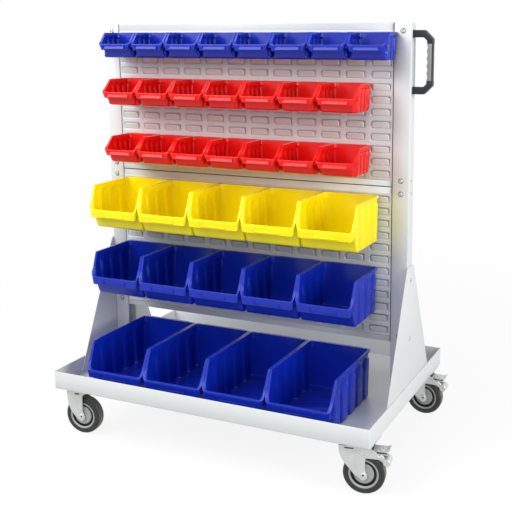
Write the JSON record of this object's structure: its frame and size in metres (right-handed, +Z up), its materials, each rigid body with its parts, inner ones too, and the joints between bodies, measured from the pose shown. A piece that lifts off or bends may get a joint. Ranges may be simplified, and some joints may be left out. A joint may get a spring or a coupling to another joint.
{
  "type": "mobile bin cart",
  "caption": "Rolling tray cart with two uprights, louvred panels, hanging and standing open-fronted storage bins, a side push handle and swivel casters.",
  "frame": {"origin": "on the floor under the middle of the overall length and depth", "axes": "+Z up, -Y is the side that the bins face, +X towards the push handle"},
  "size_m": [1.0728, 0.66, 1.2435],
  "materials": {
    "frame_grey": "pale grey powder coat",
    "bin_blue": "semi-gloss moulded plastic",
    "bin_red": "semi-gloss moulded plastic",
    "bin_yellow": "semi-gloss moulded plastic",
    "handle_black": "satin moulded plastic",
    "grip_grey": "matt soft plastic",
    "caster_zinc": "bright zinc plate",
    "wheel_rubber": "matt rubber tread on a plastic wheel"
  },
  "bodies": {
    "cart": {"base_tray": "frame_grey", "upright_left": "frame_grey", "upright_right": "frame_grey", "panel_upper": "frame_grey", "panel_lower": "frame_grey", "panel_rear": "frame_grey", "gusset_left": "frame_grey", "gusset_right": "frame_grey", "handle_body": "handle_black", "handle_grip": "grip_grey", "caster_plate_front_left": "caster_zinc", "caster_plate_rear_left": "caster_zinc", "caster_plate_front_right": "caster_zinc", "caster_plate_rear_right": "caster_zinc"},
    "bin_small_blue_1": {"bin_small_blue_1": "bin_blue"},
    "bin_small_blue_2": {"bin_small_blue_2": "bin_blue"},
    "bin_small_blue_3": {"bin_small_blue_3": "bin_blue"},
    "bin_small_blue_4": {"bin_small_blue_4": "bin_blue"},
    "bin_small_blue_5": {"bin_small_blue_5": "bin_blue"},
    "bin_small_blue_6": {"bin_small_blue_6": "bin_blue"},
    "bin_small_blue_7": {"bin_small_blue_7": "bin_blue"},
    "bin_small_blue_8": {"bin_small_blue_8": "bin_blue"},
    "bin_red_upper_1": {"bin_red_upper_1": "bin_red"},
    "bin_red_upper_2": {"bin_red_upper_2": "bin_red"},
    "bin_red_upper_3": {"bin_red_upper_3": "bin_red"},
    "bin_red_upper_4": {"bin_red_upper_4": "bin_red"},
    "bin_red_upper_5": {"bin_red_upper_5": "bin_red"},
    "bin_red_upper_6": {"bin_red_upper_6": "bin_red"},
    "bin_red_upper_7": {"bin_red_upper_7": "bin_red"},
    "bin_red_lower_1": {"bin_red_lower_1": "bin_red"},
    "bin_red_lower_2": {"bin_red_lower_2": "bin_red"},
    "bin_red_lower_3": {"bin_red_lower_3": "bin_red"},
    "bin_red_lower_4": {"bin_red_lower_4": "bin_red"},
    "bin_red_lower_5": {"bin_red_lower_5": "bin_red"},
    "bin_red_lower_6": {"bin_red_lower_6": "bin_red"},
    "bin_red_lower_7": {"bin_red_lower_7": "bin_red"},
    "bin_yellow_1": {"bin_yellow_1": "bin_yellow"},
    "bin_yellow_2": {"bin_yellow_2": "bin_yellow"},
    "bin_yellow_3": {"bin_yellow_3": "bin_yellow"},
    "bin_yellow_4": {"bin_yellow_4": "bin_yellow"},
    "bin_yellow_5": {"bin_yellow_5": "bin_yellow"},
    "bin_blue_1": {"bin_blue_1": "bin_blue"},
    "bin_blue_2": {"bin_blue_2": "bin_blue"},
    "bin_blue_3": {"bin_blue_3": "bin_blue"},
    "bin_blue_4": {"bin_blue_4": "bin_blue"},
    "bin_blue_5": {"bin_blue_5": "bin_blue"},
    "bin_large_blue_1": {"bin_large_blue_1": "bin_blue"},
    "bin_large_blue_2": {"bin_large_blue_2": "bin_blue"},
    "bin_large_blue_3": {"bin_large_blue_3": "bin_blue"},
    "bin_large_blue_4": {"bin_large_blue_4": "bin_blue"},
    "caster_fork_front_left": {"caster_fork_front_left": "caster_zinc"},
    "caster_wheel_front_left": {"caster_wheel_front_left": "wheel_rubber"},
    "caster_fork_rear_left": {"caster_fork_rear_left": "caster_zinc"},
    "caster_wheel_rear_left": {"caster_wheel_rear_left": "wheel_rubber"},
    "caster_fork_front_right": {"caster_fork_front_right": "caster_zinc"},
    "caster_wheel_front_right": {"caster_wheel_front_right": "wheel_rubber"},
    "brake_pedal_front_right": {"brake_pedal_front_right": "caster_zinc"},
    "caster_fork_rear_right": {"caster_fork_rear_right": "caster_zinc"},
    "caster_wheel_rear_right": {"caster_wheel_rear_right": "wheel_rubber"},
    "brake_pedal_rear_right": {"brake_pedal_rear_right": "caster_zinc"}
  },
  "joints": [
    {"name": "bin_small_blue_1_lift", "type": "slide", "parent": "cart", "child": "bin_small_blue_1", "axis": [0, 0, 1], "range_m": [0, 0.014]},
    {"name": "bin_small_blue_2_lift", "type": "slide", "parent": "cart", "child": "bin_small_blue_2", "axis": [0, 0, 1], "range_m": [0, 0.014]},
    {"name": "bin_small_blue_3_lift", "type": "slide", "parent": "cart", "child": "bin_small_blue_3", "axis": [0, 0, 1], "range_m": [0, 0.014]},
    {"name": "bin_small_blue_4_lift", "type": "slide", "parent": "cart", "child": "bin_small_blue_4", "axis": [0, 0, 1], "range_m": [0, 0.014]},
    {"name": "bin_small_blue_5_lift", "type": "slide", "parent": "cart", "child": "bin_small_blue_5", "axis": [0, 0, 1], "range_m": [0, 0.014]},
    {"name": "bin_small_blue_6_lift", "type": "slide", "parent": "cart", "child": "bin_small_blue_6", "axis": [0, 0, 1], "range_m": [0, 0.014]},
    {"name": "bin_small_blue_7_lift", "type": "slide", "parent": "cart", "child": "bin_small_blue_7", "axis": [0, 0, 1], "range_m": [0, 0.014]},
    {"name": "bin_small_blue_8_lift", "type": "slide", "parent": "cart", "child": "bin_small_blue_8", "axis": [0, 0, 1], "range_m": [0, 0.014]},
    {"name": "bin_red_upper_1_lift", "type": "slide", "parent": "cart", "child": "bin_red_upper_1", "axis": [0, 0, 1], "range_m": [0, 0.014]},
    {"name": "bin_red_upper_2_lift", "type": "slide", "parent": "cart", "child": "bin_red_upper_2", "axis": [0, 0, 1], "range_m": [0, 0.014]},
    {"name": "bin_red_upper_3_lift", "type": "slide", "parent": "cart", "child": "bin_red_upper_3", "axis": [0, 0, 1], "range_m": [0, 0.014]},
    {"name": "bin_red_upper_4_lift", "type": "slide", "parent": "cart", "child": "bin_red_upper_4", "axis": [0, 0, 1], "range_m": [0, 0.014]},
    {"name": "bin_red_upper_5_lift", "type": "slide", "parent": "cart", "child": "bin_red_upper_5", "axis": [0, 0, 1], "range_m": [0, 0.014]},
    {"name": "bin_red_upper_6_lift", "type": "slide", "parent": "cart", "child": "bin_red_upper_6", "axis": [0, 0, 1], "range_m": [0, 0.014]},
    {"name": "bin_red_upper_7_lift", "type": "slide", "parent": "cart", "child": "bin_red_upper_7", "axis": [0, 0, 1], "range_m": [0, 0.014]},
    {"name": "bin_red_lower_1_lift", "type": "slide", "parent": "cart", "child": "bin_red_lower_1", "axis": [0, 0, 1], "range_m": [0, 0.014]},
    {"name": "bin_red_lower_2_lift", "type": "slide", "parent": "cart", "child": "bin_red_lower_2", "axis": [0, 0, 1], "range_m": [0, 0.014]},
    {"name": "bin_red_lower_3_lift", "type": "slide", "parent": "cart", "child": "bin_red_lower_3", "axis": [0, 0, 1], "range_m": [0, 0.014]},
    {"name": "bin_red_lower_4_lift", "type": "slide", "parent": "cart", "child": "bin_red_lower_4", "axis": [0, 0, 1], "range_m": [0, 0.014]},
    {"name": "bin_red_lower_5_lift", "type": "slide", "parent": "cart", "child": "bin_red_lower_5", "axis": [0, 0, 1], "range_m": [0, 0.014]},
    {"name": "bin_red_lower_6_lift", "type": "slide", "parent": "cart", "child": "bin_red_lower_6", "axis": [0, 0, 1], "range_m": [0, 0.014]},
    {"name": "bin_red_lower_7_lift", "type": "slide", "parent": "cart", "child": "bin_red_lower_7", "axis": [0, 0, 1], "range_m": [0, 0.014]},
    {"name": "bin_yellow_1_lift", "type": "slide", "parent": "cart", "child": "bin_yellow_1", "axis": [0, 0, 1], "range_m": [0, 0.014]},
    {"name": "bin_yellow_2_lift", "type": "slide", "parent": "cart", "child": "bin_yellow_2", "axis": [0, 0, 1], "range_m": [0, 0.014]},
    {"name": "bin_yellow_3_lift", "type": "slide", "parent": "cart", "child": "bin_yellow_3", "axis": [0, 0, 1], "range_m": [0, 0.014]},
    {"name": "bin_yellow_4_lift", "type": "slide", "parent": "cart", "child": "bin_yellow_4", "axis": [0, 0, 1], "range_m": [0, 0.014]},
    {"name": "bin_yellow_5_lift", "type": "slide", "parent": "cart", "child": "bin_yellow_5", "axis": [0, 0, 1], "range_m": [0, 0.014]},
    {"name": "bin_blue_1_lift", "type": "slide", "parent": "cart", "child": "bin_blue_1", "axis": [0, 0, 1], "range_m": [0, 0.014]},
    {"name": "bin_blue_2_lift", "type": "slide", "parent": "cart", "child": "bin_blue_2", "axis": [0, 0, 1], "range_m": [0, 0.014]},
    {"name": "bin_blue_3_lift", "type": "slide", "parent": "cart", "child": "bin_blue_3", "axis": [0, 0, 1], "range_m": [0, 0.014]},
    {"name": "bin_blue_4_lift", "type": "slide", "parent": "cart", "child": "bin_blue_4", "axis": [0, 0, 1], "range_m": [0, 0.014]},
    {"name": "bin_blue_5_lift", "type": "slide", "parent": "cart", "child": "bin_blue_5", "axis": [0, 0, 1], "range_m": [0, 0.014]},
    {"name": "bin_large_blue_1_lift", "type": "slide", "parent": "cart", "child": "bin_large_blue_1", "axis": [0, 0, 1], "range_m": [0, 0.03]},
    {"name": "bin_large_blue_2_lift", "type": "slide", "parent": "cart", "child": "bin_large_blue_2", "axis": [0, 0, 1], "range_m": [0, 0.03]},
    {"name": "bin_large_blue_3_lift", "type": "slide", "parent": "cart", "child": "bin_large_blue_3", "axis": [0, 0, 1], "range_m": [0, 0.03]},
    {"name": "bin_large_blue_4_lift", "type": "slide", "parent": "cart", "child": "bin_large_blue_4", "axis": [0, 0, 1], "range_m": [0, 0.03]},
    {"name": "swivel_front_left", "type": "hinge", "parent": "cart", "child": "caster_fork_front_left", "pos_m": [-0.4869, -0.277, 0.1505], "axis": [0, 0, 1], "continuous": true},
    {"name": "wheel_spin_front_left", "type": "hinge", "parent": "caster_fork_front_left", "child": "caster_wheel_front_left", "pos_m": [-0.47099, -0.27533, 0.058], "axis": [-0.1045, 0.9945, 0], "continuous": true},
    {"name": "swivel_rear_left", "type": "hinge", "parent": "cart", "child": "caster_fork_rear_left", "pos_m": [-0.4869, 0.277, 0.1505], "axis": [0, 0, 1], "continuous": true},
    {"name": "wheel_spin_rear_left", "type": "hinge", "parent": "caster_fork_rear_left", "child": "caster_wheel_rear_left", "pos_m": [-0.47099, 0.27867, 0.058], "axis": [-0.1045, 0.9945, 0], "continuous": true},
    {"name": "swivel_front_right", "type": "hinge", "parent": "cart", "child": "caster_fork_front_right", "pos_m": [0.4341, -0.277, 0.1505], "axis": [0, 0, 1], "continuous": true},
    {"name": "wheel_spin_front_right", "type": "hinge", "parent": "caster_fork_front_right", "child": "caster_wheel_front_right", "pos_m": [0.44986, -0.27422, 0.058], "axis": [-0.1736, 0.9848, 0], "continuous": true},
    {"name": "brake_press_front_right", "type": "hinge", "parent": "caster_fork_front_right", "child": "brake_pedal_front_right", "pos_m": [0.48728, -0.26762, 0.1135], "axis": [-0.1736, 0.9848, 0], "range_deg": [0, 8]},
    {"name": "swivel_rear_right", "type": "hinge", "parent": "cart", "child": "caster_fork_rear_right", "pos_m": [0.4341, 0.277, 0.1505], "axis": [0, 0, 1], "continuous": true},
    {"name": "wheel_spin_rear_right", "type": "hinge", "parent": "caster_fork_rear_right", "child": "caster_wheel_rear_right", "pos_m": [0.4501, 0.277, 0.058], "axis": [0, 1, 0], "continuous": true},
    {"name": "brake_press_rear_right", "type": "hinge", "parent": "caster_fork_rear_right", "child": "brake_pedal_rear_right", "pos_m": [0.4881, 0.277, 0.1135], "axis": [0, 1, 0], "range_deg": [0, 8]}
  ]
}
